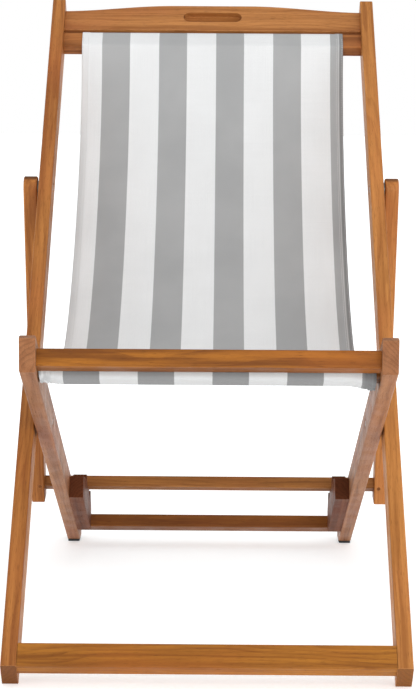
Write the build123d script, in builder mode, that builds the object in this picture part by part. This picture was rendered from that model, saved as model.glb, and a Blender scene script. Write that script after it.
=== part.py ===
from build123d import *
from math import cos, sin, radians, hypot
import os

os.makedirs("parts", exist_ok=True)

# Folding deck chair, millimetres, +Z up, front toward -Y, +X to the right seen from the front.
# Three frames: the long back frame, the seat frame inside it, the prop frame outside it.

RAIL_T = 21.0            # rail thickness across the chair
RAIL_D = 45.0            # rail depth in side view
SIDE_GAP = 3.0           # gap between neighbouring frames
BACK_HALF = 265.0        # outer faces of the back rails
BATTEN = 22.0            # cross batten depth
ARRIS = 2.2              # rounding of rail edges

BACK_ANGLE = 45.3        # back rails above the floor
BACK_L = 1242.0
BACK_TOE = 5.0           # foot end cut back at the toe
HEEL_FLAT = 4.0          # height planed off the heel

SEAT_ANGLE = 26.4        # seat rails above the floor
SEAT_L = 915.0           # along the underside; the front end is cut plumb
SEAT_TAIL = -23.0
PAD_H = 4.0
PAD_L = 34.0
NOSE = 6.0               # bevel on the front upper corner

PROP_D = 35.0
PROP_T = 21.0
PROP_TAIL = 29.0
Q_ALONG = 844.0          # prop pivot along the back rail

FOOT_RAIL = (5.0, 39.0)
HEAD_LOW = 1183.0
HEAD_END = 1227.0
HEAD_TOP = 1241.0
SLING_BAR = (1146.0, 1177.0)
BAR_FRONT = 12.0
BAR_BACK = 33.0

FRONT_RAIL = (889.0, 912.0)
FRONT_RAIL_N = (10.0, 34.0)
SEAT_BAR = (856.0, 885.0)
SEAT_BAR_N = (7.0, 23.0)
REAR_RAIL = (22.0, 53.0)
REAR_RAIL_N = (12.0, 33.0)

RACK_T = 22.0
RACK = (72.0, 284.0)
RACK_LOW = 1.0
RACK_TOP = 35.0
NOTCH_FLOOR = 46.0
TOOTH_TIP = 59.0
TOOTH_PITCH = 52.0
FIRST_TOOTH = 210.0
TOOTH_RAMP = 22.0

PROP_BAR_W = 24.0
PROP_BAR_H = 18.0
PROP_BAR_S = 171.5
PROP_BAR_N = NOTCH_FLOOR + 0.5 + PROP_BAR_H / 2

BOLT_R = 4.0
RUN_CLEAR = 0.05
BOLT_HEAD_R = 9.0
BOLT_HEAD_T = 3.6
HEAD_SINK = 3.8          # bolt heads lie in counterbores, just below the face
WASHER_R = 11.0
WASHER_T = 2.6
NUT_T = 6.0
NUT_R = 7.4
NUT_SINK = 8.8           # cap nuts lie in pockets on the inside
TURN_GAP = 0.6           # room round hardware that turns against its pocket

SLING_HALF = 217.0
CLOTH_T = 1.4

BACK_IN = BACK_HALF - RAIL_T
SEAT_HALF = BACK_IN - SIDE_GAP
SEAT_IN = SEAT_HALF - RAIL_T
PROP_IN = BACK_HALF + SIDE_GAP
PROP_HALF = PROP_IN + PROP_T

CB = cos(radians(BACK_ANGLE))
SB = sin(radians(BACK_ANGLE))
CS = cos(radians(SEAT_ANGLE))
SS = sin(radians(SEAT_ANGLE))

# The footprint is centred on the origin in Y.
Y_MIN = BACK_TOE * CB - RAIL_D * SB
Y_MAX = BACK_L * CB
Y_HEEL = -(Y_MIN + Y_MAX) / 2
Y_SEAT = Y_HEEL + 817.4


def back_pt(s, n):
    """Side-view point of the back frame: s up the rail from its heel, n in from its front face."""
    return (Y_HEEL + s * CB - (RAIL_D - n) * SB, -HEEL_FLAT + s * SB + (RAIL_D - n) * CB)


def seat_pt(s, n):
    """Side-view point of the seat frame: s up the rail from the rear, n up from its underside."""
    return (Y_SEAT - s * CS + n * SS, s * SS + n * CS)


def crossing():
    """Point where the centre lines of the back rail and the seat rail cross."""
    ay, az = back_pt(0, RAIL_D / 2)
    by, bz = seat_pt(0, RAIL_D / 2)
    det = CB * SS + SB * CS
    along = ((by - ay) * SS + (bz - az) * CS) / det
    return (ay + along * CB, az + along * SB)


P = crossing()
Q = back_pt(Q_ALONG, RAIL_D / 2)
R = seat_pt(PROP_BAR_S, PROP_BAR_N)
PROP_L = hypot(R[0] - Q[0], R[1] - Q[1])
PY = (R[0] - Q[0]) / PROP_L
PZ = (R[1] - Q[1]) / PROP_L


def prop_pt(s, n):
    """Side-view point of the prop frame: s down the strut from its pivot, n toward the front."""
    return (Q[0] + s * PY + n * PZ, Q[1] + s * PZ - n * PY)


def back_box(s0, s1, n0, n1):
    return [back_pt(s0, n0), back_pt(s1, n0), back_pt(s1, n1), back_pt(s0, n1)]


def seat_box(s0, s1, n0, n1):
    return [seat_pt(s0, n0), seat_pt(s1, n0), seat_pt(s1, n1), seat_pt(s0, n1)]


def side_plane(x):
    return Plane.YZ.offset(x)


def lengthwise(part):
    """Long edges of a rail: the ones that lie in side view and are longer than its depth."""
    return [e for e in part.edges().filter_by(GeomType.LINE) if e.length > 2.5 * RAIL_D]


def crosswise(part, length):
    """Edges of a batten that run the whole way across the chair."""
    return [e for e in part.edges().filter_by(Axis.X) if e.length > 0.98 * length]


def save(part, name):
    part.label = name
    export_step(part, "parts/" + name + ".step")


def screw_spots_back():
    """Points (s, n) where screws enter the battens of the back frame."""
    head = (HEAD_LOW + HEAD_END) / 2
    bar = (SLING_BAR[0] + SLING_BAR[1]) / 2
    mid = (BAR_FRONT + BAR_BACK) / 2
    foot = (FOOT_RAIL[0] + FOOT_RAIL[1]) / 2
    return [
        back_pt(head - 10, mid),
        back_pt(head + 10, mid),
        back_pt(bar, mid),
        back_pt(foot, BATTEN / 2),
    ]


def screw_spots_seat():
    front = (FRONT_RAIL[0] + FRONT_RAIL[1]) / 2
    bar = (SEAT_BAR[0] + SEAT_BAR[1]) / 2
    rear = (REAR_RAIL[0] + REAR_RAIL[1]) / 2
    return [
        seat_pt(front, (FRONT_RAIL_N[0] + FRONT_RAIL_N[1]) / 2),
        seat_pt(bar, (SEAT_BAR_N[0] + SEAT_BAR_N[1]) / 2),
        seat_pt(rear, (REAR_RAIL_N[0] + REAR_RAIL_N[1]) / 2),
    ]


def screw_spots_rack():
    return [seat_pt(RACK[0] + 25, 18), seat_pt(RACK[1] - 25, 18)]


SCREW_R = 2.2
SCREW_HEAD_R = 4.4
SCREW_HEAD_H = 2.6
SCREW_L = 46.0
RACK_SCREW_L = 34.0
HOLE_GAP = 0.05
BATTEN_HOLE = SCREW_L + SCREW_HEAD_H - RAIL_T + 1     # depth of a screw hole in a batten's end
RACK_HOLE = RACK_SCREW_L + SCREW_HEAD_H - RAIL_T + 1


def axle(x, spot, toward):
    """Placement with local Z along X, pointing to the given side."""
    return Location((x, spot[0], spot[1]), (0, 90 * toward, 0))


# ---------------------------------------------------------------- back frame
back_profile = [
    back_pt(BACK_TOE, 0),
    back_pt(BACK_L, 0),
    back_pt(BACK_L, RAIL_D),
    back_pt(HEEL_FLAT / SB, RAIL_D),
    (back_pt(0, RAIL_D)[0] - HEEL_FLAT * SB / CB, 0),
]
back_spots = screw_spots_back()
for side, sign in (("left", -1), ("right", 1)):
    x_out = sign * BACK_HALF
    with BuildPart() as back_rail:
        with BuildSketch(side_plane(min(x_out, sign * BACK_IN))):
            with BuildLine():
                Polyline(*back_profile, close=True)
            make_face()
        extrude(amount=RAIL_T)
        fillet(lengthwise(back_rail), ARRIS)
        for spot in (P, Q):
            with Locations(axle(x_out, spot, sign)):
                Cylinder(BOLT_R + RUN_CLEAR, 3 * RAIL_T, mode=Mode.SUBTRACT)
        with Locations(axle(x_out, P, sign)):
            Cylinder(BOLT_HEAD_R + 0.2, 2 * HEAD_SINK, mode=Mode.SUBTRACT)
        with Locations(axle(sign * BACK_IN, Q, sign)):
            Cylinder(NUT_R + 0.3, 2 * NUT_SINK, mode=Mode.SUBTRACT)
        for spot in back_spots:
            with Locations(axle(x_out, spot, sign)):
                Cylinder(SCREW_R + HOLE_GAP, 3 * RAIL_T, mode=Mode.SUBTRACT)
            with Locations(axle(x_out - sign * SCREW_HEAD_H / 2, spot, sign)):
                Cone(SCREW_R + HOLE_GAP, SCREW_HEAD_R + HOLE_GAP, SCREW_HEAD_H, mode=Mode.SUBTRACT)
    save(back_rail.part, "back_rail_" + side)


def screw_set(x_face, spots, shank):
    """Countersunk screws with a cross recess, one at each spot on both sides."""
    with BuildPart() as piece:
        for sign in (-1, 1):
            for spot in spots:
                with Locations(axle(sign * (x_face - SCREW_HEAD_H / 2), spot, sign)):
                    Cone(SCREW_R, SCREW_HEAD_R, SCREW_HEAD_H)
                with Locations(axle(sign * (x_face - SCREW_HEAD_H - shank / 2), spot, sign)):
                    Cylinder(SCREW_R, shank)
                with Locations(axle(sign * x_face, spot, sign)):
                    Box(5.0, 1.1, 3.0, mode=Mode.SUBTRACT)
                    Box(1.1, 5.0, 3.0, mode=Mode.SUBTRACT)
    return piece.part


save(screw_set(BACK_HALF, back_spots, SCREW_L), "back_screws")

# Head rail: straight below, crowned above, with a blind finger groove in the front face.
head_plane = Plane(
    origin=(0, *back_pt(HEAD_LOW, BAR_FRONT)),
    x_dir=(1, 0, 0),
    z_dir=(0, -SB, CB),
)
HEAD_END_H = HEAD_END - HEAD_LOW
HEAD_TOP_H = HEAD_TOP - HEAD_LOW
CROWN_HALF = 62.0
with BuildPart() as head_rail:
    with BuildSketch(head_plane):
        with BuildLine():
            Line((-BACK_IN, 0), (BACK_IN, 0))
            Line((BACK_IN, 0), (BACK_IN, HEAD_END_H))
            Spline((BACK_IN, HEAD_END_H), (CROWN_HALF, HEAD_TOP_H), tangents=[(-1, 0.02), (-1, 0)])
            Line((CROWN_HALF, HEAD_TOP_H), (-CROWN_HALF, HEAD_TOP_H))
            Spline((-CROWN_HALF, HEAD_TOP_H), (-BACK_IN, HEAD_END_H), tangents=[(-1, 0), (-1, -0.02)])
            Line((-BACK_IN, HEAD_END_H), (-BACK_IN, 0))
        make_face()
    extrude(amount=-(BAR_BACK - BAR_FRONT))
    with BuildSketch(head_plane):
        with Locations((0, 31.5)):
            SlotOverall(96.0, 22.0)
    extrude(amount=-10.0, mode=Mode.SUBTRACT)
    for sign in (-1, 1):
        for spot in back_spots[:2]:
            with Locations(axle(sign * BACK_IN, spot, sign)):
                Cylinder(SCREW_R + HOLE_GAP, 2 * BATTEN_HOLE, mode=Mode.SUBTRACT)
save(head_rail.part, "head_rail")


def batten(corners, half, spots):
    """Rounded batten across the chair with a screw hole in each end."""
    with BuildPart() as piece:
        with BuildSketch(side_plane(-half)):
            with BuildLine():
                Polyline(*corners, close=True)
            make_face()
        extrude(amount=2 * half)
        fillet(crosswise(piece, 2 * half), ARRIS)
        for sign in (-1, 1):
            for spot in spots:
                with Locations(axle(sign * half, spot, sign)):
                    Cylinder(SCREW_R + HOLE_GAP, 2 * BATTEN_HOLE, mode=Mode.SUBTRACT)
    return piece.part


save(batten(back_box(*SLING_BAR, BAR_FRONT, BAR_BACK), BACK_IN, back_spots[2:3]), "back_sling_bar")
save(batten(back_box(*FOOT_RAIL, 0, BATTEN), BACK_IN, back_spots[3:]), "back_foot_rail")

# ---------------------------------------------------------------- seat frame
pad_y = Y_SEAT - PAD_H * CS / SS
tail_z = seat_pt(SEAT_TAIL, 0)[1]
heel_n = (PAD_H - tail_z) / CS
seat_profile = [
    (pad_y, PAD_H),
    seat_pt(SEAT_L, 0),
    seat_pt(SEAT_L + (RAIL_D - NOSE) * SS / CS, RAIL_D - NOSE),
    seat_pt(SEAT_L + (RAIL_D - NOSE) * SS / CS - NOSE, RAIL_D),
    seat_pt(SEAT_TAIL, RAIL_D),
    seat_pt(SEAT_TAIL, heel_n),
]
seat_spots = screw_spots_seat()
rack_spots = screw_spots_rack()
for side, sign in (("left", -1), ("right", 1)):
    x_out = sign * SEAT_HALF
    with BuildPart() as seat_rail:
        with BuildSketch(side_plane(min(x_out, sign * SEAT_IN))):
            with BuildLine():
                Polyline(*seat_profile, close=True)
            make_face()
        extrude(amount=RAIL_T)
        fillet(lengthwise(seat_rail), ARRIS)
        with Locations(axle(x_out, P, sign)):
            Cylinder(BOLT_R + RUN_CLEAR, 3 * RAIL_T, mode=Mode.SUBTRACT)
        with Locations(axle(sign * SEAT_IN, P, sign)):
            Cylinder(NUT_R + TURN_GAP, 2 * (NUT_SINK + 0.4), mode=Mode.SUBTRACT)
        for spot in seat_spots + rack_spots:
            with Locations(axle(x_out, spot, sign)):
                Cylinder(SCREW_R + HOLE_GAP, 3 * RAIL_T, mode=Mode.SUBTRACT)
            with Locations(axle(x_out - sign * SCREW_HEAD_H / 2, spot, sign)):
                Cone(SCREW_R + HOLE_GAP, SCREW_HEAD_R + HOLE_GAP, SCREW_HEAD_H, mode=Mode.SUBTRACT)
    save(seat_rail.part, "seat_rail_" + side)

save(screw_set(SEAT_HALF, seat_spots, SCREW_L), "seat_screws")

save(batten(seat_box(*FRONT_RAIL, *FRONT_RAIL_N), SEAT_IN, seat_spots[0:1]), "seat_front_rail")
save(batten(seat_box(*SEAT_BAR, *SEAT_BAR_N), SEAT_IN, seat_spots[1:2]), "seat_sling_bar")
save(batten(seat_box(*REAR_RAIL, *REAR_RAIL_N), SEAT_IN, seat_spots[2:3]), "seat_rear_rail")

with BuildPart() as rear_pads:
    for sign in (-1, 1):
        with Locations((sign * (SEAT_HALF - RAIL_T / 2), pad_y + 1 + PAD_L / 2, PAD_H / 2)):
            Box(RAIL_T - 1.5, PAD_L, PAD_H)
    fillet(rear_pads.edges().filter_by(Axis.Z), 3.0)
save(rear_pads.part, "rear_foot_pads")

# Racks: blocks with three saw teeth, steep toward the front, fixed inside the seat rails.
rack_profile = [seat_pt(RACK[0], RACK_LOW), seat_pt(RACK[1], RACK_LOW), seat_pt(RACK[1], RACK_TOP)]
for tooth in range(3):
    tip = FIRST_TOOTH - tooth * TOOTH_PITCH
    rack_profile.append(seat_pt(tip + TOOTH_PITCH - TOOTH_RAMP - 3.0, NOTCH_FLOOR))
    rack_profile.append(seat_pt(tip, NOTCH_FLOOR))
    rack_profile.append(seat_pt(tip - 1.5, TOOTH_TIP))
    rack_profile.append(seat_pt(tip - 5.0, TOOTH_TIP))
rack_profile.append(seat_pt(RACK[0], RACK_TOP))
for side, sign in (("left", -1), ("right", 1)):
    with BuildPart() as rack:
        with BuildSketch(side_plane(min(sign * SEAT_IN, sign * (SEAT_IN - RACK_T)))):
            with BuildLine():
                Polyline(*rack_profile, close=True)
            make_face()
        extrude(amount=RACK_T)
        for spot in rack_spots:
            with Locations(axle(sign * SEAT_IN, spot, sign)):
                Cylinder(SCREW_R + HOLE_GAP, 2 * RACK_HOLE, mode=Mode.SUBTRACT)
    save(rack.part, "rack_" + side)

save(screw_set(SEAT_HALF, rack_spots, RACK_SCREW_L), "rack_screws")

# ---------------------------------------------------------------- prop frame
TENON_L = 14.0
TENON = (PROP_BAR_W - 8.0, PROP_BAR_H - 6.0)
bar_plane = Plane(origin=(0, R[0], R[1]), x_dir=(0, -CS, SS), z_dir=(1, 0, 0))
strut_end = PROP_L + PROP_TAIL
PIN_R = 3.0


def pin_plane(sign, n):
    """Plane of the pin through the tenon, facing the strut's front."""
    return Plane(origin=(sign * (PROP_IN + TENON_L / 2), *prop_pt(PROP_L, n)), z_dir=(0, PZ, -PY))


for side, sign in (("left", -1), ("right", 1)):
    x_out = sign * PROP_HALF
    with BuildPart() as strut:
        with BuildSketch(side_plane(min(x_out, sign * PROP_IN))):
            with BuildLine():
                Line(prop_pt(0, PROP_D / 2), prop_pt(strut_end, PROP_D / 2))
                Line(prop_pt(strut_end, PROP_D / 2), prop_pt(strut_end, -PROP_D / 2))
                Line(prop_pt(strut_end, -PROP_D / 2), prop_pt(0, -PROP_D / 2))
                ThreePointArc(prop_pt(0, -PROP_D / 2), prop_pt(-PROP_D / 2, 0), prop_pt(0, PROP_D / 2))
            make_face()
        extrude(amount=PROP_T)
        foot = [e for e in strut.edges().filter_by(Axis.X) if e.center().Z < R[1]]
        fillet(foot, 4.0)
        fillet(lengthwise(strut), ARRIS)
        with Locations(axle(x_out, Q, sign)):
            Cylinder(BOLT_R + RUN_CLEAR, 3 * PROP_T, mode=Mode.SUBTRACT)
            Cylinder(BOLT_HEAD_R + TURN_GAP, 2 * (HEAD_SINK + 0.4), mode=Mode.SUBTRACT)
        with BuildSketch(bar_plane.offset(sign * PROP_IN)):
            Rectangle(TENON[0] + 2 * HOLE_GAP, TENON[1] + 2 * HOLE_GAP)
        extrude(amount=sign * (TENON_L + 0.5), mode=Mode.SUBTRACT)
        with BuildSketch(pin_plane(sign, 0)):
            Circle(PIN_R + HOLE_GAP)
        extrude(amount=PROP_D, mode=Mode.SUBTRACT)
    save(strut.part, "prop_strut_" + side)

with BuildPart() as prop_bar:
    with BuildSketch(bar_plane.offset(-PROP_IN)):
        Rectangle(PROP_BAR_W, PROP_BAR_H)
    extrude(amount=2 * PROP_IN)
    fillet(crosswise(prop_bar, 2 * PROP_IN), ARRIS)
    with BuildSketch(bar_plane.offset(-PROP_IN - TENON_L)):
        Rectangle(*TENON)
    extrude(amount=2 * (PROP_IN + TENON_L))
    for sign in (-1, 1):
        with BuildSketch(pin_plane(sign, 0)):
            Circle(PIN_R + HOLE_GAP)
        extrude(amount=PROP_D, mode=Mode.SUBTRACT)
save(prop_bar.part, "prop_bar")

with BuildPart() as prop_pins:
    for sign in (-1, 1):
        with BuildSketch(pin_plane(sign, 0.1)):
            Circle(PIN_R)
        extrude(amount=PROP_D / 2)
save(prop_pins.part, "prop_bar_pins")

# ---------------------------------------------------------------- pivots
def bolt_pair(spot, x_seat, x_end):
    """Two domed bolts across the side frames: heads seated at x_seat, threads ending at x_end inside."""
    with BuildPart() as piece:
        for sign in (-1, 1):
            with Locations(axle(sign * (x_seat + x_end) / 2, spot, sign)):
                Cylinder(BOLT_R, x_seat - x_end)
            with Locations(axle(sign * (x_seat + BOLT_HEAD_T / 2), spot, sign)):
                Cylinder(BOLT_HEAD_R, BOLT_HEAD_T)
        rims = [e for e in piece.edges().filter_by(GeomType.CIRCLE)
                if abs(e.radius - BOLT_HEAD_R) < 0.01 and abs(e.center().X) > x_seat + BOLT_HEAD_T / 2]
        fillet(rims, 2.6)
        for sign in (-1, 1):
            head = Plane(origin=(sign * (x_seat + BOLT_HEAD_T), *spot), x_dir=(0, 1, 0), z_dir=(-sign, 0, 0))
            with BuildSketch(head):
                RegularPolygon(2.9, 6)
            extrude(amount=SOCKET_DEPTH, mode=Mode.SUBTRACT)
    return piece.part


def ring_pair(spot, x_low, thick, outer):
    """Two washers, one each side, from x_low outward."""
    with BuildPart() as piece:
        for sign in (-1, 1):
            with Locations(axle(sign * (x_low + thick / 2), spot, sign)):
                Cylinder(outer, thick)
                Cylinder(BOLT_R + RUN_CLEAR, thick * 2, mode=Mode.SUBTRACT)
    return piece.part


def nut_pair(spot, x_face):
    """Two domed cap nuts whose faces lie at x_face, pointing inward."""
    with BuildPart() as piece:
        for sign in (-1, 1):
            face = Plane(origin=(sign * x_face, *spot), x_dir=(0, 1, 0), z_dir=(-sign, 0, 0))
            with BuildSketch(face):
                RegularPolygon(NUT_R, 6)
            extrude(amount=NUT_T)
            with BuildSketch(face.offset(NUT_T)):
                Circle(5.8)
            extrude(amount=2.4, taper=28)
            with BuildSketch(face):
                Circle(BOLT_R + RUN_CLEAR)
            extrude(amount=NUT_T + 0.4, mode=Mode.SUBTRACT)
    return piece.part


SOCKET_DEPTH = 2.0
seat_nut = SEAT_IN + NUT_SINK - 0.1
prop_nut = BACK_IN + NUT_SINK - 0.1
save(bolt_pair(P, BACK_HALF - HEAD_SINK, seat_nut - NUT_T), "seat_pivot_bolts")
save(ring_pair(P, BACK_IN - WASHER_T, WASHER_T, WASHER_R), "seat_pivot_washers")
save(nut_pair(P, seat_nut), "seat_pivot_nuts")
save(bolt_pair(Q, PROP_HALF - HEAD_SINK, prop_nut - NUT_T), "prop_pivot_bolts")
save(ring_pair(Q, BACK_HALF, WASHER_T, WASHER_R), "prop_pivot_washers")
save(nut_pair(Q, prop_nut), "prop_pivot_nuts")

# ---------------------------------------------------------------- sling
CLOTH_GAP = 0.3
SLING_LOW = (-117.5, 365.7)    # lowest point of the hanging cloth in side view
LOW_REACH = (130.0, 183.0)     # how far the low curve stays flat, to the front and to the rear
FRONT_REACH = 60.0             # the cloth leaves the front bar along its top face
TOP_REACH = 202.0              # and hangs almost plumb from the back bar
TOP_LEAN = 88.5


def rounded_loop(corner, reach_s, reach_n, grow):
    """Closed side-view loop around a batten; corner(s, n) maps its local frame to side view."""
    s0, s1 = reach_s[0] - grow, reach_s[1] + grow
    n0, n1 = reach_n[0] - grow, reach_n[1] + grow
    r = ARRIS + grow
    centres = [(s1 - r, n1 - r), (s0 + r, n1 - r), (s0 + r, n0 + r), (s1 - r, n0 + r)]
    pts = []
    for quarter, (cs, cn) in enumerate(centres):
        for k in range(5):
            a = radians(90.0 * quarter + 22.5 * k)
            pts.append(corner(cs + r * cos(a), cn + r * sin(a)))
    return pts


def bezier(p, t):
    """Point and direction of a cubic with four control points."""
    q = 1 - t
    point = [q ** 3 * p[0][i] + 3 * q * q * t * p[1][i] + 3 * q * t * t * p[2][i] + t ** 3 * p[3][i]
             for i in (0, 1)]
    slope = [q * q * (p[1][i] - p[0][i]) + 2 * q * t * (p[2][i] - p[1][i]) + t * t * (p[3][i] - p[2][i])
             for i in (0, 1)]
    size = hypot(*slope)
    return point, (slope[0] / size, slope[1] / size)


# The cloth leaves the back bar round its lower front arris, and the front bar from its top face.
lean = radians(TOP_LEAN)
rim = ARRIS + CLOTH_GAP + CLOTH_T / 2
bar_arris = back_pt(SLING_BAR[0] + ARRIS, BAR_FRONT + ARRIS)
sling_top = (bar_arris[0] - rim * sin(lean), bar_arris[1] + rim * cos(lean))
sling_front = seat_pt(SEAT_BAR[0] + 4, SEAT_BAR_N[1] + CLOTH_GAP + CLOTH_T / 2)
front_run = [
    sling_front,
    (sling_front[0] + FRONT_REACH * CS, sling_front[1] - FRONT_REACH * SS),
    (SLING_LOW[0] - LOW_REACH[0], SLING_LOW[1]),
    SLING_LOW,
]
back_run = [
    SLING_LOW,
    (SLING_LOW[0] + LOW_REACH[1], SLING_LOW[1]),
    (sling_top[0] - TOP_REACH * cos(lean), sling_top[1] - TOP_REACH * sin(lean)),
    sling_top,
]
upper = []
lower = []
for run, first, steps in ((front_run, 0, 8), (back_run, 1, 16)):
    for k in range(first, steps + 1):
        (py, pz), (ty, tz) = bezier(run, k / steps)
        upper.append((py - tz * CLOTH_T / 2, pz + ty * CLOTH_T / 2))
        lower.append((py + tz * CLOTH_T / 2, pz - ty * CLOTH_T / 2))

with BuildPart() as sling:
    with BuildSketch(side_plane(-SLING_HALF)):
        with BuildLine():
            Spline(*upper)
            Line(upper[-1], lower[-1])
            Spline(*reversed(lower))
            Line(lower[0], upper[0])
        make_face()
        for grow, way in ((CLOTH_GAP + CLOTH_T, Mode.ADD), (CLOTH_GAP, Mode.SUBTRACT)):
            with BuildLine():
                Polyline(*rounded_loop(back_pt, SLING_BAR, (BAR_FRONT, BAR_BACK), grow), close=True)
            make_face(mode=way)
            with BuildLine():
                Polyline(*rounded_loop(seat_pt, SEAT_BAR, SEAT_BAR_N, grow), close=True)
            make_face(mode=way)
    extrude(amount=2 * SLING_HALF)
save(sling.part, "sling")
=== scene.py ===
import math
import random

import bmesh
import bpy
from mathutils import Matrix, Vector, noise


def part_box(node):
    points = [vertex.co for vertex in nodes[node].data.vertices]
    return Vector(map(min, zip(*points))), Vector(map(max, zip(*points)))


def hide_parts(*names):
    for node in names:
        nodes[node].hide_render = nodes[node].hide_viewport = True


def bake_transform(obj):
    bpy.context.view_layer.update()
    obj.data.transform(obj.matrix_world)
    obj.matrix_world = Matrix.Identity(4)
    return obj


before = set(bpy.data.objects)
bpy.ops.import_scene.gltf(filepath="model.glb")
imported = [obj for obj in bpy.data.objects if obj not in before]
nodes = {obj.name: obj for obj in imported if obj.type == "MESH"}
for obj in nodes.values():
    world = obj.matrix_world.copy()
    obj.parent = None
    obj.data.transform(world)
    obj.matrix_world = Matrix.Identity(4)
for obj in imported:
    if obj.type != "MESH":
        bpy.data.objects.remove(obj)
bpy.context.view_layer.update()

MM = 0.001
BACK = math.radians(45.3)      # slope of the back rails
SEAT = math.radians(26.4)      # slope of the seat rails
X = Vector((1, 0, 0))


def middle(node):
    low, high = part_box(node)
    return (low + high) / 2


# Directions in side view: along each frame, and out of its upper face.
BACK_ALONG = Vector((0, math.cos(BACK), math.sin(BACK)))
BACK_UP = Vector((0, -math.sin(BACK), math.cos(BACK)))
SEAT_ALONG = Vector((0, -math.cos(SEAT), math.sin(SEAT)))
SEAT_UP = Vector((0, math.sin(SEAT), math.cos(SEAT)))
prop_foot = middle("prop_bar")
prop_head = middle("prop_pivot_bolts")
PROP_ALONG = prop_foot - prop_head
PROP_ALONG.x = 0
PROP_ALONG.normalize()
PROP_UP = Vector((0, PROP_ALONG.z, -PROP_ALONG.y))


# ------------------------------------------------------------------ node helpers
class Graph:
    """A material's node tree with short calls for the nodes used here."""

    def __init__(self, name):
        self.material = bpy.data.materials.new(name)
        self.material.use_nodes = True
        self.tree = self.material.node_tree
        self.shader = self.tree.nodes["Principled BSDF"]

    def link(self, source, socket):
        self.tree.links.new(source, socket)

    def put(self, node, index, value):
        if hasattr(value, "is_output"):
            self.link(value, node.inputs[index])
        elif value is not None:
            node.inputs[index].default_value = value

    def node(self, kind, **settings):
        made = self.tree.nodes.new(kind)
        for key, value in settings.items():
            setattr(made, key, value)
        return made

    def math(self, operation, a, b=None, clamp=False):
        made = self.node("ShaderNodeMath", operation=operation, use_clamp=clamp)
        self.put(made, 0, a)
        self.put(made, 1, b)
        return made.outputs[0]

    def dot(self, vector, direction):
        made = self.node("ShaderNodeVectorMath", operation="DOT_PRODUCT")
        self.put(made, 0, vector)
        self.put(made, 1, tuple(direction))
        return made.outputs["Value"]

    def combine(self, x, y, z):
        made = self.node("ShaderNodeCombineXYZ")
        for index, value in enumerate((x, y, z)):
            self.put(made, index, value)
        return made.outputs[0]

    def separate(self, vector):
        made = self.node("ShaderNodeSeparateXYZ")
        self.put(made, 0, vector)
        return made.outputs

    def stretch(self, vector, x, y, z, shift=(0, 0, 0)):
        made = self.node("ShaderNodeMapping")
        self.put(made, "Vector", vector)
        made.inputs["Scale"].default_value = (x, y, z)
        made.inputs["Location"].default_value = shift
        return made.outputs[0]

    def noise(self, vector, scale=1.0, detail=3.0, roughness=0.55):
        made = self.node("ShaderNodeTexNoise")
        self.put(made, "Vector", vector)
        made.inputs["Scale"].default_value = scale
        made.inputs["Detail"].default_value = detail
        made.inputs["Roughness"].default_value = roughness
        return made.outputs["Fac"]

    def ramp(self, value, low, high, to_low=0.0, to_high=1.0):
        made = self.node("ShaderNodeMapRange", interpolation_type="SMOOTHSTEP")
        self.put(made, "Value", value)
        made.inputs["From Min"].default_value = low
        made.inputs["From Max"].default_value = high
        made.inputs["To Min"].default_value = to_low
        made.inputs["To Max"].default_value = to_high
        return made.outputs["Result"]

    def mix(self, share, a, b):
        made = self.node("ShaderNodeMix", data_type="RGBA")
        self.put(made, 0, share)
        for index, value in ((6, a), (7, b)):
            if isinstance(value, tuple):
                value = (*value, 1.0)
            self.put(made, index, value)
        return made.outputs[2]

    def bump(self, height, strength, distance, normal=None):
        made = self.node("ShaderNodeBump")
        made.inputs["Strength"].default_value = strength
        made.inputs["Distance"].default_value = distance
        self.put(made, "Height", height)
        if normal is not None:
            self.link(normal, made.inputs["Normal"])
        return made.outputs[0]


def dress(node, material):
    obj = nodes[node]
    if not obj.data.materials:
        obj.data.materials.append(material)
    for index in range(len(obj.data.materials)):
        obj.data.materials[index] = material
    for slot in obj.material_slots:
        slot.material = material


def grey_tone(value):
    return (value, value, value)


# ------------------------------------------------------------------ wood
# Noise scales of the grain per metre: along the board, then both ways across it.
RING_WARP = (2.2, 16, 16)
RING_WAVES = (7.0, 60, 60)
STREAKS = (2.6, 85, 85)
FIBRES = (22, 620, 620)
PORES = (75, 1500, 1500)
BLOTCHES = (4.5, 14, 14)
END_PORES = (200, 1300, 1300)
RINGS_PER_M = 170.0
WORN_ARRIS = 0.0016            # how far wear reaches round an edge
GRAIN_DEPTH = 0.00035
SCUFF_SCALE, HAZE_SCALE = 90, 28
WOOD_GLOSS, RACK_GLOSS = 0.22, 0.07


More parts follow.
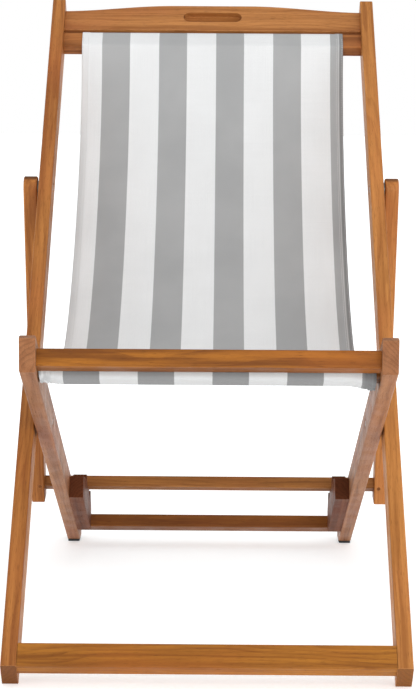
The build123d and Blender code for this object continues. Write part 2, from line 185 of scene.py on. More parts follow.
def wood(name, along, up, light, dark, seed, end_shade, gloss):
    """Oiled hardwood with its grain along one direction; up points out of the face with flat grain."""
    g = Graph(name)
    rng = random.Random(seed)
    coords = g.node("ShaderNodeTexCoord")
    place = coords.outputs["Object"]
    side = along.cross(up)
    s = g.dot(place, along)
    n = g.dot(place, up)
    x = g.dot(place, side)
    shift = [rng.uniform(-3, 3) for _ in range(3)]
    fibre_space = g.combine(s, n, x)
    # Growth rings: distance from a pith outside the board, warped along the length.
    warp = g.noise(g.stretch(fibre_space, *RING_WARP, shift), detail=2.0)
    waves = g.noise(g.stretch(fibre_space, *RING_WAVES, shift), detail=3.0)
    ring_n = g.math("ADD", n, rng.uniform(0.02, 0.05))
    ring_x = g.math("ADD", x, rng.uniform(-0.03, 0.03))
    radius = g.node("ShaderNodeVectorMath", operation="LENGTH")
    g.link(g.combine(ring_n, ring_x, 0.0), radius.inputs[0])
    bent = g.math("ADD", radius.outputs["Value"], g.math("MULTIPLY", warp, 0.055))
    bent = g.math("ADD", bent, g.math("MULTIPLY", waves, 0.006))
    ring = g.math("FRACT", g.math("MULTIPLY", bent, RINGS_PER_M))
    late = g.ramp(ring, 0.35, 0.92)
    late = g.math("MULTIPLY", late, g.ramp(ring, 1.0, 0.93))
    streak = g.noise(g.stretch(fibre_space, *STREAKS, shift), detail=4.0, roughness=0.6)
    fibre = g.noise(g.stretch(fibre_space, *FIBRES, shift), detail=3.0, roughness=0.65)
    pores = g.noise(g.stretch(fibre_space, *PORES, shift), detail=1.0)
    pore = g.ramp(pores, 0.60, 0.70)
    blotch = g.noise(g.stretch(fibre_space, *BLOTCHES, shift), detail=2.0)

    share = g.ramp(streak, 0.30, 0.72)
    share = g.math("ADD", share, g.math("MULTIPLY", late, 0.30))
    for cloud, weight, clamp in ((fibre, 0.45, False), (blotch, 0.5, True)):
        swing = g.math("MULTIPLY", g.math("SUBTRACT", cloud, 0.5), weight)
        share = g.math("ADD", share, swing, clamp=clamp)
    colour = g.mix(share, light, dark)
    red = (min(1.0, light[0] * 1.02), light[1] * 0.80, light[2] * 0.95)
    colour = g.mix(g.ramp(blotch, 0.42, 0.75, 0.0, 0.38), colour, red)
    deep = tuple(c * 0.42 for c in dark)
    colour = g.mix(g.math("MULTIPLY", pore, 0.42), colour, deep)

    # End grain drinks more oil and reads darker, with pores as dots.
    facing = g.math("ABSOLUTE", g.dot(coords.outputs["Normal"], along))
    end = g.ramp(facing, 0.80, 0.97)
    dots = g.noise(g.stretch(fibre_space, *END_PORES, shift), detail=2.0)
    end_light = tuple(c * end_shade for c in dark)
    end_colour = g.mix(g.ramp(dots, 0.45, 0.66, 0.0, 0.55), end_light, deep)
    end_colour = g.mix(g.math("MULTIPLY", late, 0.35), end_colour, deep)
    colour = g.mix(end, colour, end_colour)

    # Worn arrises: the rounded-off normal differs from the face's own along edges.
    soft = g.node("ShaderNodeBevel", samples=4)
    soft.inputs["Radius"].default_value = WORN_ARRIS
    flat = g.node("ShaderNodeNewGeometry")
    turn = g.node("ShaderNodeVectorMath", operation="DOT_PRODUCT")
    g.link(soft.outputs[0], turn.inputs[0])
    g.link(flat.outputs["Normal"], turn.inputs[1])
    edge = g.ramp(turn.outputs["Value"], 0.985, 0.86)
    scuff = g.noise(g.stretch(place, 1, 1, 1, shift), scale=SCUFF_SCALE, detail=3.0)
    edge = g.math("MULTIPLY", edge, g.ramp(scuff, 0.35, 0.65, 0.15, 0.75))
    worn = tuple(min(1.0, c * 1.35 + 0.03) for c in light)
    colour = g.mix(edge, colour, worn)
    g.link(colour, g.shader.inputs["Base Color"])

    haze = g.noise(g.stretch(place, 1, 1, 1, shift), scale=HAZE_SCALE, detail=3.0)
    rough = g.ramp(haze, 0.3, 0.7, 0.40, 0.56)
    rough = g.math("ADD", rough, g.math("MULTIPLY", pore, 0.15))
    rough = g.math("ADD", rough, g.math("MULTIPLY", end, 0.12))
    g.link(rough, g.shader.inputs["Roughness"])
    g.shader.inputs["Specular IOR Level"].default_value = gloss

    height = g.math("SUBTRACT", g.math("MULTIPLY", fibre, 0.6), g.math("MULTIPLY", pore, 0.8))
    height = g.math("SUBTRACT", height, g.math("MULTIPLY", late, 0.25))
    g.link(g.bump(height, 0.35, GRAIN_DEPTH, soft.outputs[0]), g.shader.inputs["Normal"])
    return g.material


# Oiled tones: the light and the dark parts of each board's figure.
RED = ((0.48, 0.186, 0.043), (0.25, 0.080, 0.015))
# The next tone is the red made lighter, for the right-hand back rail and strut: painted light, as more light
# falls on the right side.
RED_LIT_RIGHT = ((0.57, 0.236, 0.060), (0.33, 0.116, 0.024))
HEAD = ((0.52, 0.215, 0.062), (0.30, 0.106, 0.025))
FRONT = ((0.40, 0.140, 0.014), (0.17, 0.050, 0.005))
GOLD = ((0.46, 0.176, 0.021), (0.23, 0.073, 0.008))
CHESTNUT = ((0.43, 0.160, 0.042), (0.21, 0.065, 0.013))
# The next tone is painted shade: a dark brown for the front sling bar, whose visible end lies in shadow
# beside the cloth, and for the rear rail in the shadow under the seat.
UMBER_SHADE = ((0.27, 0.092, 0.014), (0.14, 0.040, 0.005))
BROWN = ((0.38, 0.150, 0.034), (0.19, 0.064, 0.012))
PINK = ((0.37, 0.162, 0.068), (0.20, 0.076, 0.028))
ROSE = ((0.175, 0.057, 0.024), (0.090, 0.026, 0.010))

# Each board's grain direction, flat face, tones, and how light its end grain is beside its dark tone.
WOOD_PIECES = {
    "back_rail_left": (BACK_ALONG, BACK_UP, *RED, 0.8),
    # Painted light: the right back rail takes the lighter red.
    "back_rail_right": (BACK_ALONG, BACK_UP, *RED_LIT_RIGHT, 0.8),
    "head_rail": (X, BACK_UP, *HEAD, 0.6),
    "back_sling_bar": (X, BACK_UP, *CHESTNUT, 0.6),
    "back_foot_rail": (X, BACK_UP, *GOLD, 0.6),
    "seat_rail_left": (SEAT_ALONG, SEAT_UP, *PINK, 1.65),
    "seat_rail_right": (SEAT_ALONG, SEAT_UP, *PINK, 1.45),
    "seat_front_rail": (X, SEAT_UP, *FRONT, 0.6),
    # Painted shade: the front sling bar and the rear rail take the dark brown.
    "seat_sling_bar": (X, SEAT_UP, *UMBER_SHADE, 0.6),
    "seat_rear_rail": (X, SEAT_UP, *UMBER_SHADE, 0.6),
    "rack_left": (SEAT_ALONG, SEAT_UP, *ROSE, 1.55),
    "rack_right": (SEAT_ALONG, SEAT_UP, *ROSE, 1.30),
    "prop_strut_left": (PROP_ALONG, PROP_UP, *RED, 0.6),
    # Painted light: the right strut takes the lighter red.
    "prop_strut_right": (PROP_ALONG, PROP_UP, *RED_LIT_RIGHT, 0.6),
    "prop_bar": (X, SEAT_UP, *BROWN, 0.6),
    "prop_bar_pins": (PROP_UP, PROP_ALONG, *RED, 0.9),
}
for index, (node, (along, up, light, dark, end_shade)) in enumerate(WOOD_PIECES.items()):
    gloss = RACK_GLOSS if node.startswith("rack") else WOOD_GLOSS
    dress(node, wood("wood_" + node, along, up, light, dark, 11 + 7 * index, end_shade, gloss))


# ------------------------------------------------------------------ steel and rubber
ZINC_TONES = ((0.66, 0.66, 0.64), (0.50, 0.49, 0.46), (0.78, 0.78, 0.76))
DULLED = 0.32                  # tone of the pivot hardware beside bright zinc


def steel(name, seed, shade=1.0):
    """Zinc plate: cloudy crystals, fine scratches, brighter where it is worn."""
    g = Graph(name)
    rng = random.Random(seed)
    shift = [rng.uniform(-2, 2) for _ in range(3)]
    place = g.node("ShaderNodeTexCoord").outputs["Object"]
    cloud = g.noise(g.stretch(place, 1, 1, 1, shift), scale=260, detail=4.0)
    scratch = g.noise(g.stretch(place, 900, 240, 3200, shift), detail=2.0)
    bright, dull, worn = [tuple(c * shade for c in tone) for tone in ZINC_TONES]
    colour = g.mix(g.ramp(cloud, 0.35, 0.68), bright, dull)
    colour = g.mix(g.ramp(scratch, 0.60, 0.72, 0.0, 0.35), colour, worn)
    g.link(colour, g.shader.inputs["Base Color"])
    g.shader.inputs["Metallic"].default_value = 1.0
    g.link(g.ramp(cloud, 0.3, 0.7, 0.26, 0.44), g.shader.inputs["Roughness"])
    g.link(g.bump(scratch, 0.12, 0.0001), g.shader.inputs["Normal"])
    return g.material


zinc = steel("zinc_plate", 5)
dull_zinc = steel("dull_zinc", 6, DULLED)
for node in nodes:
    if node.endswith("screws"):
        dress(node, zinc)
    elif node.endswith(("bolts", "washers", "nuts")):
        dress(node, dull_zinc)


def rubber(name):
    """Matt black rubber with a little dust."""
    g = Graph(name)
    place = g.node("ShaderNodeTexCoord").outputs["Object"]
    grain = g.noise(place, scale=1800, detail=2.0)
    dust = g.noise(place, scale=120, detail=3.0)
    colour = g.mix(g.ramp(dust, 0.4, 0.75, 0.0, 0.6), (0.016, 0.016, 0.017), (0.05, 0.048, 0.045))
    g.link(colour, g.shader.inputs["Base Color"])
    g.link(g.ramp(dust, 0.3, 0.7, 0.62, 0.85), g.shader.inputs["Roughness"])
    g.link(g.bump(grain, 0.4, 0.0003), g.shader.inputs["Normal"])
    return g.material


dress("rear_foot_pads", rubber("black_rubber"))


# ------------------------------------------------------------------ sling: shape in side view
CLOTH_W = 0.4278               # width over the folded hems
STRIPE = 0.0932                # one grey and one white stripe
GREY_W = 0.0455
FIRST_GREY = 0.0336            # from the left edge to the first grey stripe
back_bar = middle("back_sling_bar")
front_bar = middle("seat_sling_bar")
SLING_LOW = Vector((0, -0.1175, 0.3657))
LOW_TO_FRONT, LOW_TO_BACK = 0.130, 0.183   # handles of the sag at its lowest point
FRONT_HANDLE, TOP_HANDLE = 0.060, 0.202
TOP_LEAN = math.radians(88.5)              # slope of the cloth where it leaves the back bar
ARRIS_TO_CLOTH = 0.0032                    # from the bar's arris centre to the cloth's middle
PATH_STEP = 0.0022


def on_back(ds, dn):
    return Vector((0, back_bar.y, back_bar.z)) + BACK_ALONG * ds * MM + BACK_UP * dn * MM


def on_front(ds, dn):
    return Vector((0, front_bar.y, front_bar.z)) + SEAT_ALONG * ds * MM + SEAT_UP * dn * MM


def bezier(p, t):
    q = 1 - t
    return p[0] * q ** 3 + p[1] * 3 * q * q * t + p[2] * 3 * q * t * t + p[3] * t ** 3


def run_between(a, b, reach_a, reach_b, steps):
    """Smooth run of points from a to b; reach_a and reach_b are the handles."""
    return [bezier((a, a + reach_a, b + reach_b, b), k / steps) for k in range(steps + 1)]


# The cloth leaves the front bar along its top face, and hangs almost plumb from the back bar's lower arris.
top_along = Vector((0, math.cos(TOP_LEAN), math.sin(TOP_LEAN)))
top_out = Vector((0, -math.sin(TOP_LEAN), math.cos(TOP_LEAN)))
top = on_back(-13.3, 8.3) + top_out * ARRIS_TO_CLOTH
front = on_front(-10.5, 9.2)
main = run_between(front, SLING_LOW, -SEAT_ALONG * FRONT_HANDLE, Vector((0, -LOW_TO_FRONT, 0)), 40)
main += run_between(SLING_LOW, top, Vector((0, LOW_TO_BACK, 0)), -top_along * TOP_HANDLE, 90)[1:]


def smooth_line(points, step):
    """Catmull-Rom curve through points, sampled about every step metres."""
    out = []
    for i in range(len(points) - 1):
        p0 = points[max(i - 1, 0)]
        p1, p2 = points[i], points[i + 1]
        p3 = points[min(i + 2, len(points) - 1)]
        count = max(1, round((p2 - p1).length / step))
        for k in range(count):
            t = k / count
            out.append(0.5 * ((2 * p1) + (p2 - p0) * t + (2 * p0 - 5 * p1 + 4 * p2 - p3) * t * t
                              + (3 * p1 - p0 - 3 * p2 + p3) * t ** 3))
    out.append(points[-1].copy())
    return out


def below(index, gap):
    """Point on the underside of the main run."""
    a, b = main[max(index - 1, 0)], main[min(index + 1, len(main) - 1)]
    d = (b - a).normalized()
    return main[index] - Vector((0, -d.z, d.y)) * gap


def index_at(length, from_end=False):
    """Index of the main run's point at a length from its front or top end."""
    order = list(range(len(main)))
    if from_end:
        order.reverse()
    gone = 0.0
    for a, b in zip(order, order[1:]):
        gone += (main[a] - main[b]).length
        if gone >= length:
            return b
    return order[-1]


LAYER = 0.0013                 # between the middles of two layers of cloth
LAP_FRONT = (0.026, 0.044)     # where the front sleeve laps under the main run, behind the bar
LAP_TOP = (0.036, 0.056)       # and where the top sleeve laps under it, below its bar
# Spots of both sleeves round their bars, in millimetres along and out of each frame from the bar's middle.
FRONT_SLEEVE = ((-21.5, 5.0), (-18.0, -3.0), (-15.2, -9.8), (-9.0, -12.6), (2.0, -13.0), (10.0, -12.6),
                (14.2, -10.6), (15.6, -5.0), (15.8, 2.0), (14.7, 7.4), (9.5, 9.3), (0.0, 9.5))
TOP_SLEEVE = ((-14.5, 11.25), (-12.9, 11.55), (-6.0, 11.6), (2.0, 11.7), (9.5, 11.8), (15.2, 9.9),
              (16.9, 4.5), (17.0, -3.0), (16.0, -9.0), (12.0, -11.9), (3.0, -12.2), (-7.0, -12.3),
              (-16.5, -12.8), (-28.0, -14.3))
front_sleeve = [below(index_at(LAP_FRONT[1]), LAYER), below(index_at(LAP_FRONT[0]), LAYER)]
front_sleeve += [on_front(*p) for p in FRONT_SLEEVE]
top_sleeve = [on_back(*p) for p in TOP_SLEEVE]
top_sleeve += [below(index_at(LAP_TOP[0], True), LAYER), below(index_at(LAP_TOP[1], True), LAYER)]
path = smooth_line(front_sleeve + [front], PATH_STEP)[:-1]
first_main = len(path)
path += main
last_main = len(path) - 1
path += smooth_line([top] + top_sleeve, PATH_STEP)[1:]
lengths = [0.0]
for a, b in zip(path, path[1:]):
    lengths.append(lengths[-1] + (b - a).length)
CLOTH_L = lengths[-1]
L_FRONT, L_TOP = lengths[first_main], lengths[last_main]


def side_at(length):
    """Point and underside normal of the cloth's middle surface, in side view."""
    low, high = 0, len(lengths) - 1
    while high - low > 1:
        half = (low + high) // 2
        if lengths[half] <= length:
            low = half
        else:
            high = half
    share = (length - lengths[low]) / max(lengths[high] - lengths[low], 1e-9)
    point = path[low].lerp(path[high], min(max(share, 0.0), 1.0))
    a, b = path[max(low - 1, 0)], path[min(high + 1, len(path) - 1)]
    d = (b - a).normalized()
    return point, Vector((0, -d.z, d.y))


def fade(value, low, high):
    """Smooth step from 0 at low to 1 at high."""
    t = min(max((value - low) / (high - low), 0.0), 1.0)
    return t * t * (3 - 2 * t)


HALF_W = CLOTH_W / 2
FRONT_SPREAD = 0.031           # share by which the cloth is wider on the front bar
FREE_HALF = 0.208              # half width up to which nothing holds the cloth in
RAIL_HALF = 0.2182             # half width that the rails leave it
SIDE_SHIFT, SIDE_DRIFT = -0.0017, 0.0019
SAG = 0.0015                   # extra dip of the middle against the hems
RIPPLE, PULL = 0.0006, 0.0007  # heights of broad ripples and of tight ones below the top
PUCKER, GATHER = 0.0040, 0.0012
HANG_RIGHT, DRAWN_LEFT = 0.0042, 0.0036   # how far the loose front sleeve's corners move down and up


def cloth_point(u, length, lift=0.0):
    """Place of a spot on the cloth: u metres from its left edge, length metres from its front end."""
    point, normal = side_at(length)
    across = u - HALF_W
    # Spread a little wider on the front bar than between the bars, up to the rails.
    at_front = 1 - fade(length, L_FRONT, L_FRONT + 0.34)
    x = across * (1 + FRONT_SPREAD * at_front)
    room = RAIL_HALF + 0.0005 * math.sin(length * 160) - FREE_HALF
    squeeze = abs(x) - FREE_HALF
    if squeeze > 0:
        x = math.copysign(FREE_HALF + room * math.tanh(squeeze / room), x)
    x += SIDE_SHIFT + SIDE_DRIFT * fade(length, L_FRONT, L_TOP)
    # Slack: the cloth sags a touch more in the middle than at its hems, most in the seat.
    belly = math.sin(math.pi * min(max((length - L_FRONT) / (L_TOP - L_FRONT), 0), 1))
    dip = -SAG * belly * (1 - (across / HALF_W) ** 2)
    ripple = RIPPLE * noise.noise(Vector((u * 26, length * 5, 0.0))) * belly
    below_top = 1 - fade(length, L_TOP - 0.16, L_TOP)
    pull = PULL * noise.noise(Vector((u * 60, length * 12, 4.0))) * below_top * belly
    # Cloth crowded against the rails at both front corners puckers.
    crowd = fade(abs(across), 0.175, 0.213) * (1 - fade(length, L_FRONT + 0.02, L_FRONT + 0.11))
    pucker = PUCKER * crowd * noise.noise(Vector((u * 150, length * 40, 9.0)))
    pucker += GATHER * crowd * math.sin(u * 1000 + length * 60)
    rise = dip + ripple + pull + abs(pucker) + lift
    # The front sleeve hangs loose below its bar, lower at the right, and is drawn up at its left corner.
    loose = (1 - fade(length, L_FRONT - 0.034, L_FRONT - 0.022)) * fade(length, 0.018, 0.030)
    droop = loose * (HANG_RIGHT * fade(across, 0.172, 0.210) - DRAWN_LEFT * fade(-across, 0.180, 0.213))
    return Vector((x, point.y, point.z)) + normal * rise + Vector((0, 0, -droop))


CLOTH_T = 0.0009
HEM_W = 0.013
HEM_SWELL = 0.00055            # what the folded hem adds to each face


def hem_swell(u):
    """Extra thickness of the folded hem along both sides."""
    edge = min(u, CLOTH_W - u)
    return HEM_SWELL * (1 - fade(edge, HEM_W - 0.0012, HEM_W + 0.0008))


def mesh_object(name, verts, faces, material, uvs=None):
    """New mesh object in the scene, shaded smooth; uvs has one pair per vertex."""
    mesh = bpy.data.meshes.new(name)
    mesh.from_pydata([tuple(v) for v in verts], [], faces)
    if uvs:
        layer = mesh.uv_layers.new(name="UVMap")
        for loop in mesh.loops:
            layer.data[loop.index].uv = uvs[loop.vertex_index]
    mesh.materials.append(material)
    mesh.shade_smooth()
    mesh.update()
    obj = bpy.data.objects.new(name, mesh)
    bpy.context.scene.collection.objects.link(obj)
    return obj


# ------------------------------------------------------------------ cloth materials
YARN = 0.00062                 # spacing of the yarns
WEAVE_DEPTH = 0.00022
SHADED = grey_tone(0.42)
RIGHT_EDGE_BAND = 0.0066             # width of the darker band along the right hem's edge
LINE_AT, LINE_HALF = 0.0080, 0.0006


def weave(g, uv, u, v):
    """Height of a plain weave and the unevenness of its yarns; UV is metres across and along the cloth."""
    warp_at, weft_at = g.math("MULTIPLY", u, 1 / YARN), g.math("MULTIPLY", v, 1 / YARN)
    warp_hump = g.math("ABSOLUTE", g.math("SINE", g.math("MULTIPLY", warp_at, math.pi)))
    weft_hump = g.math("ABSOLUTE", g.math("SINE", g.math("MULTIPLY", weft_at, math.pi)))
    parity = g.math("MODULO", g.math("ADD", g.math("FLOOR", warp_at), g.math("FLOOR", weft_at)), 2.0)
    over = g.math("ABSOLUTE", parity)
    under = g.math("SUBTRACT", 1.0, over)
    height = g.math("ADD", g.math("MULTIPLY", warp_hump, over), g.math("MULTIPLY", weft_hump, under))
    slub_warp = g.noise(g.stretch(uv, 1600, 9, 1), detail=2.0)
    slub_weft = g.noise(g.stretch(uv, 9, 1600, 1), detail=2.0)
    slub = g.math("ADD", g.math("MULTIPLY", slub_warp, over), g.math("MULTIPLY", slub_weft, under))
    return height, slub


def striped_canvas(name):
    """Grey and white striped canvas, with painted shade toward both bars, along the left hem, at the front
    corners and between the yarns, and a darker band at the right hem's edge.
    """
    g = Graph(name)
    uv = g.node("ShaderNodeTexCoord").outputs["UV"]
    u, v, _ = g.separate(uv)
    height, slub = weave(g, uv, u, v)
    wobble = g.math("SUBTRACT", g.noise(g.stretch(uv, 40, 700, 1), detail=1.0), 0.5)
    from_edge = g.math("ADD", u, g.math("MULTIPLY", wobble, 0.0005))
    in_stripe = g.math("FLOORED_MODULO", g.math("SUBTRACT", from_edge, FIRST_GREY), STRIPE)
    grey = g.math("LESS_THAN", in_stripe, GREY_W)
    cloud = g.ramp(g.noise(g.stretch(uv, 7, 7, 1), detail=3.0), 0.3, 0.7)
    white_yarn = g.mix(cloud, (0.830, 0.838, 0.841), (0.870, 0.878, 0.881))
    grey_yarn = g.mix(cloud, (0.375, 0.378, 0.380), (0.425, 0.427, 0.428))
    # Painted shade: both yarns are darker toward the front bar, where the cloth lies under the front rail
    # and faces up in the seat, and the white is a little darker toward the top, below the head rail.
    grey_yarn = g.mix(g.ramp(v, L_FRONT - 0.01, L_FRONT + 0.35, 0.66, 0.0), grey_yarn, grey_tone(0.16))
    white_yarn = g.mix(g.ramp(v, L_FRONT - 0.01, L_FRONT + 0.02, 0.50, 0.0), white_yarn, SHADED)
    white_yarn = g.mix(g.ramp(v, L_TOP - 0.30, L_TOP - 0.02, 0.0, 0.09), white_yarn, SHADED)
    colour = g.mix(grey, white_yarn, grey_yarn)
    # Painted shade: the left hem is darker between the bars, standing in for the shade of an edge that curls
    # back.
    left_hem_shade = g.math("MULTIPLY", g.ramp(v, L_TOP - 0.06, L_TOP - 0.22),
                    g.ramp(v, L_FRONT + 0.22, L_FRONT + 0.46))
    left_hem_shade = g.math("MULTIPLY", left_hem_shade, g.ramp(u, 0.018, 0.003, 0.0, 0.45))
    colour = g.mix(left_hem_shade, colour, SHADED)
    # The right hem's outer edge is darker, beside a pale line of thread.
    right_edge_dark = g.ramp(u, CLOTH_W - RIGHT_EDGE_BAND - 0.0006, CLOTH_W - RIGHT_EDGE_BAND + 0.0006, 0.0, 0.75)
    colour = g.mix(right_edge_dark, colour, grey_tone(0.20))
    line = g.math("COMPARE", u, CLOTH_W - LINE_AT)
    line.node.inputs[2].default_value = LINE_HALF
    on_run = g.ramp(v, L_FRONT, L_FRONT + 0.05, 0.15, 0.6)
    colour = g.mix(g.math("MULTIPLY", line, on_run), colour, grey_tone(0.66))
    # Painted shade at both front corners, where the cloth crowds against the rails: a dark shadow at the
    # right corner under the front rail, and streaks of crease shade at the left.
    in_sleeve = g.ramp(v, L_FRONT + 0.004, L_FRONT - 0.004)
    crease_shade_streaks = g.ramp(g.noise(g.stretch(uv, 210, 60, 1), detail=2.0), 0.42, 0.58)
    right_corner_shadow = g.math("MULTIPLY", in_sleeve, g.ramp(u, CLOTH_W - 0.022, CLOTH_W - 0.016, 0.0, 0.60))
    colour = g.mix(right_corner_shadow, colour, grey_tone(0.13))
    left_corner_shade = g.math("MULTIPLY", in_sleeve, g.ramp(u, 0.027, 0.012, 0.0, 0.50))
    colour = g.mix(g.math("MULTIPLY", left_corner_shade, crease_shade_streaks), colour, (0.36, 0.37, 0.37))
    # Thin spots are darker, and the gaps between yarns get painted shade.
    colour = g.mix(g.ramp(slub, 0.3, 0.7, 0.10, 0.0), colour, grey_tone(0.30))
    colour = g.mix(g.ramp(height, 0.0, 0.45, 0.22, 0.0), colour, grey_tone(0.22))
    g.link(colour, g.shader.inputs["Base Color"])
    g.link(g.ramp(slub, 0.3, 0.7, 0.80, 0.92), g.shader.inputs["Roughness"])
    g.shader.inputs["Specular IOR Level"].default_value = 0.25
    g.shader.inputs["Sheen Weight"].default_value = 0.10
    g.shader.inputs["Sheen Roughness"].default_value = 0.5
    relief = g.math("ADD", height, g.math("MULTIPLY", slub, 0.6))
    g.link(g.bump(relief, 0.45, WEAVE_DEPTH), g.shader.inputs["Normal"])
    return g.material


def sewing_thread(name):
    g = Graph(name)
    place = g.node("ShaderNodeTexCoord").outputs["Object"]
    twist = g.noise(place, scale=2600, detail=2.0)
    colour = g.mix(g.ramp(twist, 0.35, 0.65), (0.74, 0.74, 0.73), (0.56, 0.56, 0.56))
    g.link(colour, g.shader.inputs["Base Color"])
    g.link(g.bump(twist, 0.5, 0.0001), g.shader.inputs["Normal"])
    g.link(g.ramp(twist, 0.3, 0.7, 0.5, 0.7), g.shader.inputs["Roughness"])
    return g.material


canvas = striped_canvas("striped_canvas")
thread = sewing_thread("sewing_thread")


# ------------------------------------------------------------------ sling: mesh
FINE_EDGE, EDGE_STEP, INNER_COLUMNS = 0.040, 0.0018, 66


def columns():
    """Spots across the cloth, closer together at the hems."""
    left = [0.0, 0.0004, 0.0012]
    while left[-1] < FINE_EDGE:
        left.append(left[-1] + EDGE_STEP)
    start, stop = left[-1], CLOTH_W - left[-1]
    inner = [start + (stop - start) * k / INNER_COLUMNS for k in range(1, INNER_COLUMNS)]
    return left + inner + [CLOTH_W - s for s in reversed(left)]


SLEEVE_STEP, NEAR_STEP, FAR_STEP = 0.0022, 0.0035, 0.006
NEAR = 0.1


def row_step(at):
    """Finest in the sleeves, fine next to them, coarser between the bars."""
    if at < L_FRONT + 0.004 or at > L_TOP - 0.006:
        return SLEEVE_STEP
    return NEAR_STEP if min(abs(at - L_FRONT), abs(at - L_TOP)) < NEAR else FAR_STEP


def rows():
    """Spots along the cloth."""
    spots = []
    at = 0.0
    while at < CLOTH_L:
        spots.append(at)
        at += row_step(at)
    return spots + [CLOTH_L]


EDGE_THIN = 0.55               # the very edge is thinner, so that it reads rounded


def sheet_mesh(across_spots, along_spots):
    """Corners, UVs and faces of the cloth: both skins, then the strips that close its sides and ends."""
    verts, uvs, faces = [], [], []
    for skin in (1, -1):
        for length in along_spots:
            for spot in across_spots:
                thick = CLOTH_T / 2 + hem_swell(spot)
                if spot in (0.0, CLOTH_W):
                    thick *= EDGE_THIN
                verts.append(cloth_point(spot, length, skin * thick))
                uvs.append((spot, length))
    wide, tall = len(across_spots), len(along_spots)
    skin_count = wide * tall
    for j in range(tall - 1):
        for i in range(wide - 1):
            a = j * wide + i
            faces.append((a, a + 1, a + wide + 1, a + wide))
            b = a + skin_count
            faces.append((b, b + wide, b + wide + 1, b + 1))
    for j in range(tall - 1):
        for i, flip in ((0, False), (wide - 1, True)):
            a = j * wide + i
            quad = (a, a + wide, a + wide + skin_count, a + skin_count)
            faces.append(tuple(reversed(quad)) if flip else quad)
    for i in range(wide - 1):
        for j, flip in ((0, True), (tall - 1, False)):
            a = j * wide + i
            quad = (a, a + 1, a + 1 + skin_count, a + skin_count)
            faces.append(quad if flip else tuple(reversed(quad)))
    return verts, uvs, faces


verts, uvs, faces = sheet_mesh(columns(), rows())
sling = mesh_object("sling_cloth", verts, faces, canvas, uvs)
shape = bmesh.new()
shape.from_mesh(sling.data)
bmesh.ops.recalc_face_normals(shape, faces=shape.faces)
shape.to_mesh(sling.data)
shape.free()

# ------------------------------------------------------------------ sling: stitching
STITCH_L, STITCH_GAP, THREAD_R = 0.0030, 0.0010, 0.00028
STITCH_RING = 6                # corners of a thread's section
# Along a stitch: share of its length, height and size of the section in thread radii.
STITCH_PROFILE = ((0.0, -0.3, 0.6), (0.18, 0.35, 1.0), (0.5, 0.6, 1.05), (0.82, 0.35, 1.0), (1.0, -0.3, 0.6))
HEM_INSET, SEAM_INSET = 0.0022, 0.004
PAST_BARS = 0.02               # how far the hems' rows run on past where the cloth meets the bars
FRONT_SEAMS, TOP_SEAMS = (0.028, 0.042), (0.038, 0.053)   # from where the cloth leaves each bar
stitch_verts, stitch_faces = [], []


def add_stitch(a, b, normal, side):
    """One short thread between two points, sunk at both ends and proud in the middle."""
    start = len(stitch_verts)
    direction = (b - a).normalized()
    cross = direction.cross(normal).normalized()
    for share, high, size in STITCH_PROFILE:
        centre = a.lerp(b, share) + normal * side * high * THREAD_R
        for k in range(STITCH_RING):
            angle = math.tau * k / STITCH_RING
            ring = (cross * math.cos(angle) + normal * math.sin(angle)) * THREAD_R * size
            stitch_verts.append(centre + ring)
    last = start + (len(STITCH_PROFILE) - 1) * STITCH_RING
    for first in range(start, last, STITCH_RING):
        for k in range(STITCH_RING):
            p, q = first + k, first + (k + 1) % STITCH_RING
            stitch_faces.append((p, q, q + STITCH_RING, p + STITCH_RING))
    stitch_faces.append(tuple(start + k for k in reversed(range(STITCH_RING))))
    stitch_faces.append(tuple(last + k for k in range(STITCH_RING)))


def stitch_row(fixed, low, high, lengthwise, sides=(1, -1)):
    """A row of stitches along a hem, or across the cloth on a sleeve's seam; sides are its faces."""
    at = low
    while at + STITCH_L < high:
        for side in sides:
            if lengthwise:
                lift = side * (CLOTH_T / 2 + hem_swell(fixed))
                a, b = cloth_point(fixed, at, lift), cloth_point(fixed, at + STITCH_L, lift)
                _, normal = side_at(at + STITCH_L / 2)
            else:
                lift = side * CLOTH_T / 2
                if side < 0:
                    lift -= LAYER
                a, b = cloth_point(at, fixed, lift), cloth_point(at + STITCH_L, fixed, lift)
                _, normal = side_at(fixed)
            add_stitch(a, b, normal, side)
        at += STITCH_L + STITCH_GAP


for line in (HEM_INSET, HEM_W - HEM_INSET):
    for spot in (line, CLOTH_W - line):
        stitch_row(spot, L_FRONT - PAST_BARS, L_TOP + PAST_BARS, True)
for seam in FRONT_SEAMS:
    stitch_row(L_FRONT + seam, SEAM_INSET, CLOTH_W - SEAM_INSET, False)
for seam in TOP_SEAMS:
    stitch_row(L_TOP - seam, SEAM_INSET, CLOTH_W - SEAM_INSET, False, sides=(-1,))
stitches = mesh_object("sling_stitches", stitch_verts, stitch_faces, thread)

# Bake both pieces' placement into their meshes, and hide the sling piece from model.glb.
for piece in (sling, stitches):
    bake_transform(piece)
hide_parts("sling")

# ------------------------------------------------------------------ floor, light and camera
FLOOR_HALF, FLOOR_DROP = 30, 0.0005


def pale_floor(name):
    """Nearly white floor that glows more with distance, so it runs into the studio without a horizon."""
    g = Graph(name)
    place = g.node("ShaderNodeTexCoord").outputs["Object"]
    speck = g.noise(place, scale=3.0, detail=2.0)
    g.link(g.mix(speck, grey_tone(0.93), grey_tone(0.95)), g.shader.inputs["Base Color"])
    g.shader.inputs["Roughness"].default_value = 0.9
    g.shader.inputs["Specular IOR Level"].default_value = 0.1
    g.shader.inputs["Emission Color"].default_value = (0.93, 0.98, 1.0, 1)
    reach = g.node("ShaderNodeVectorMath", operation="LENGTH")
    g.link(place, reach.inputs[0])
    g.link(g.ramp(reach.outputs["Value"], 0.3, 2.0, 0.40, 0.60), g.shader.inputs["Emission Strength"])
    return g.material


corners = [(x * FLOOR_HALF, y * FLOOR_HALF, 0) for x, y in ((-1, -1), (1, -1), (1, 1), (-1, 1))]
floor = mesh_object("floor", corners, [(0, 1, 2, 3)], pale_floor("pale_floor"))
floor.location.z = -FLOOR_DROP


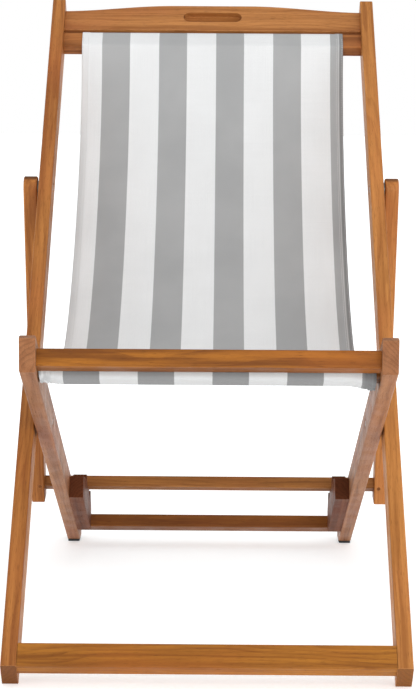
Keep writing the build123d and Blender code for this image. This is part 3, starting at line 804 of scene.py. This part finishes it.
def studio(name):
    """White to the camera; for light, its walls are bright and its ceiling a little less so."""
    world = bpy.data.worlds.new(name)
    world.use_nodes = True
    tree = world.node_tree
    sky = tree.nodes["Background"]
    sky.inputs["Color"].default_value = (1, 1, 1, 1)
    toward = tree.nodes.new("ShaderNodeSeparateXYZ")
    tree.links.new(tree.nodes.new("ShaderNodeTexCoord").outputs["Generated"], toward.inputs[0])
    rise = tree.nodes.new("ShaderNodeMapRange")
    rise.interpolation_type = "SMOOTHSTEP"
    for socket, value in (("From Min", 0.05), ("From Max", 0.85), ("To Min", 0.78), ("To Max", 0.74)):
        rise.inputs[socket].default_value = value
    tree.links.new(toward.outputs["Z"], rise.inputs["Value"])
    tree.links.new(rise.outputs["Result"], sky.inputs["Strength"])
    seen = tree.nodes.new("ShaderNodeBackground")
    seen.inputs["Strength"].default_value = 1.0
    seen.inputs["Color"].default_value = (1, 1, 1, 1)
    rays = tree.nodes.new("ShaderNodeLightPath")
    either = tree.nodes.new("ShaderNodeMixShader")
    tree.links.new(rays.outputs["Is Camera Ray"], either.inputs[0])
    tree.links.new(sky.outputs[0], either.inputs[1])
    tree.links.new(seen.outputs[0], either.inputs[2])
    tree.links.new(either.outputs[0], tree.nodes["World Output"].inputs["Surface"])
    return world


bpy.context.scene.world = studio("studio")


def softbox(name, place, target, size, power):
    light = bpy.data.lights.new(name, "AREA")
    light.shape = "SQUARE"
    light.size = size
    light.energy = power
    obj = bpy.data.objects.new(name, light)
    obj.location = place
    obj.rotation_mode = "QUATERNION"
    obj.rotation_quaternion = (Vector(target) - Vector(place)).to_track_quat("-Z", "Y")
    bpy.context.scene.collection.objects.link(obj)


# Name, place, target, edge in metres and power in watts of each softbox.
SOFTBOXES = (
    ("key", (1.1, -3.4, 1.9), (0, 0, 0.4), 2.2, 37),
    ("right", (2.6, -1.4, 1.2), (0, 0, 0.4), 1.8, 12),
    ("left", (-2.6, -1.4, 1.2), (0, 0, 0.4), 1.8, 8),
    ("rear", (0.0, 3.2, 1.8), (0, 0, 0.5), 2.0, 8),
)
for lamp in SOFTBOXES:
    softbox(*lamp)

# Camera from the front, a little above the seat, looking slightly down.
PITCH, YAW, ROLL = math.radians(7.392), math.radians(-0.203), math.radians(0.370)
CAMERA_AT = (0.0073, -2.9018, 0.7647)
LENS, SENSOR = 103.13, 36.0
SHIFT_X, SHIFT_Y = 0.0002, 0.0008
camera_data = bpy.data.cameras.new("camera")
camera = bpy.data.objects.new("camera", camera_data)
bpy.context.scene.collection.objects.link(camera)
camera_data.sensor_width = SENSOR
camera_data.lens = LENS
camera_data.shift_x = SHIFT_X
camera_data.shift_y = SHIFT_Y
forward = Vector((math.sin(YAW) * math.cos(PITCH), math.cos(YAW) * math.cos(PITCH), -math.sin(PITCH)))
level = Vector((math.cos(YAW), -math.sin(YAW), 0))
upward = Vector((math.sin(YAW) * math.sin(PITCH), math.cos(YAW) * math.sin(PITCH), math.cos(PITCH)))
cam_x = level * math.cos(ROLL) + upward * math.sin(ROLL)
cam_y = upward * math.cos(ROLL) - level * math.sin(ROLL)
turn = Matrix((cam_x, cam_y, -forward)).transposed()
camera.matrix_world = Matrix.Translation(CAMERA_AT) @ turn.to_4x4()
bpy.context.scene.camera = camera
bpy.context.scene.view_settings.view_transform = "Standard"
